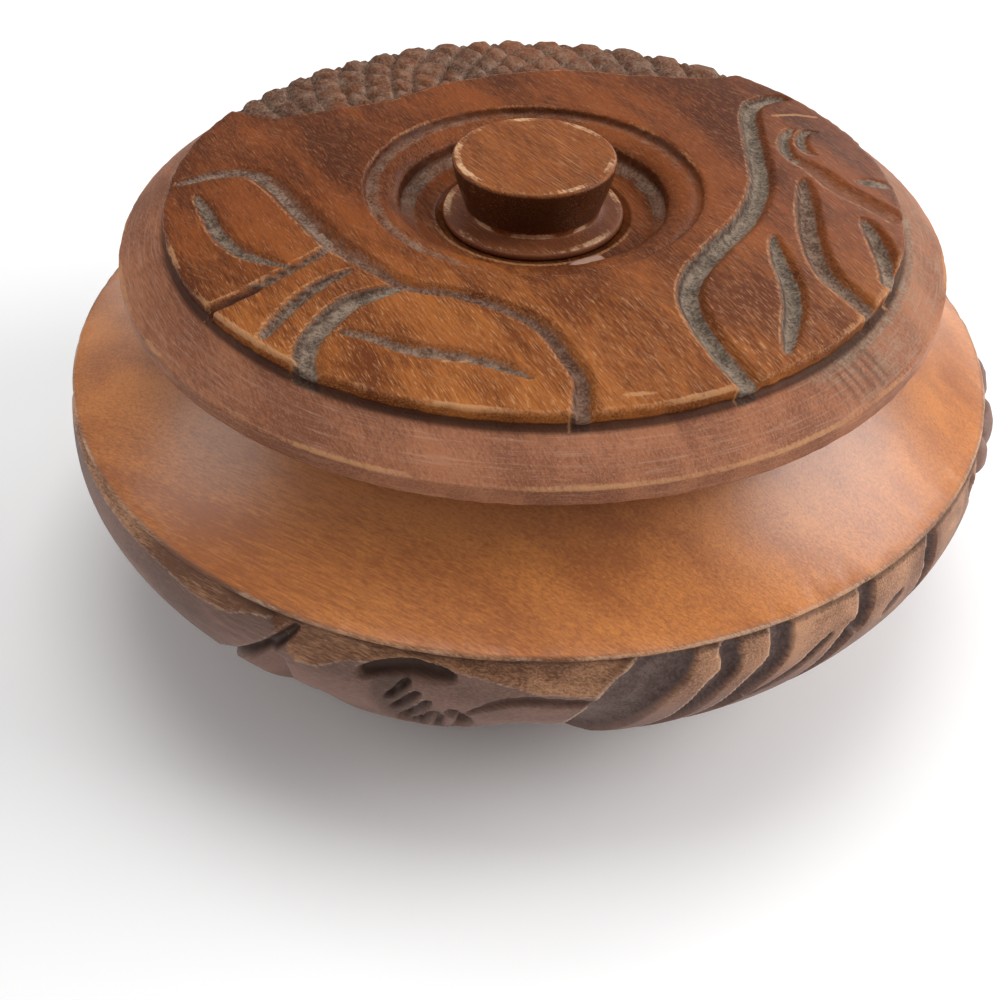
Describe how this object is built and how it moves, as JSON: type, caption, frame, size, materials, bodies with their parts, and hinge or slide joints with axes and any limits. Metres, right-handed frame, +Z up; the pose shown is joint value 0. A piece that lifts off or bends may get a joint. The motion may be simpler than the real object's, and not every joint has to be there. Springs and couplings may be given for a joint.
{
  "type": "trinket box",
  "caption": "Round carved wooden trinket box: a wide turned bowl, a lid that lifts off, with carved leaves and sunk rings, and a turned finger knob.",
  "frame": {"origin": "the middle of the flat foot that the bowl stands on", "axes": "+Z is up, the way the lid lifts; -Y is the front, from which the carved vine runs over the left of the lid and the broad stem over its right; +X is to the right"},
  "size_m": [0.1686, 0.1685, 0.0814],
  "materials": {
    "bowl_wood": "waxed hardwood, honey orange and glossy on the turned shoulder, dull brown grey in the carving",
    "lid_wood": "waxed red brown hardwood, pale pores, grey dust in the gouge strokes, worn pale edges",
    "knob_wood": "waxed red brown hardwood, scratched on top, dark round the side"
  },
  "bodies": {
    "bowl_body": {"bowl": "bowl_wood"},
    "lid_body": {"lid": "lid_wood", "knob": "knob_wood"}
  },
  "joints": [
    {"name": "lid_lift", "type": "slide", "parent": "bowl_body", "child": "lid_body", "axis": [0, 0, 1], "range_m": [0, 0.12]}
  ]
}
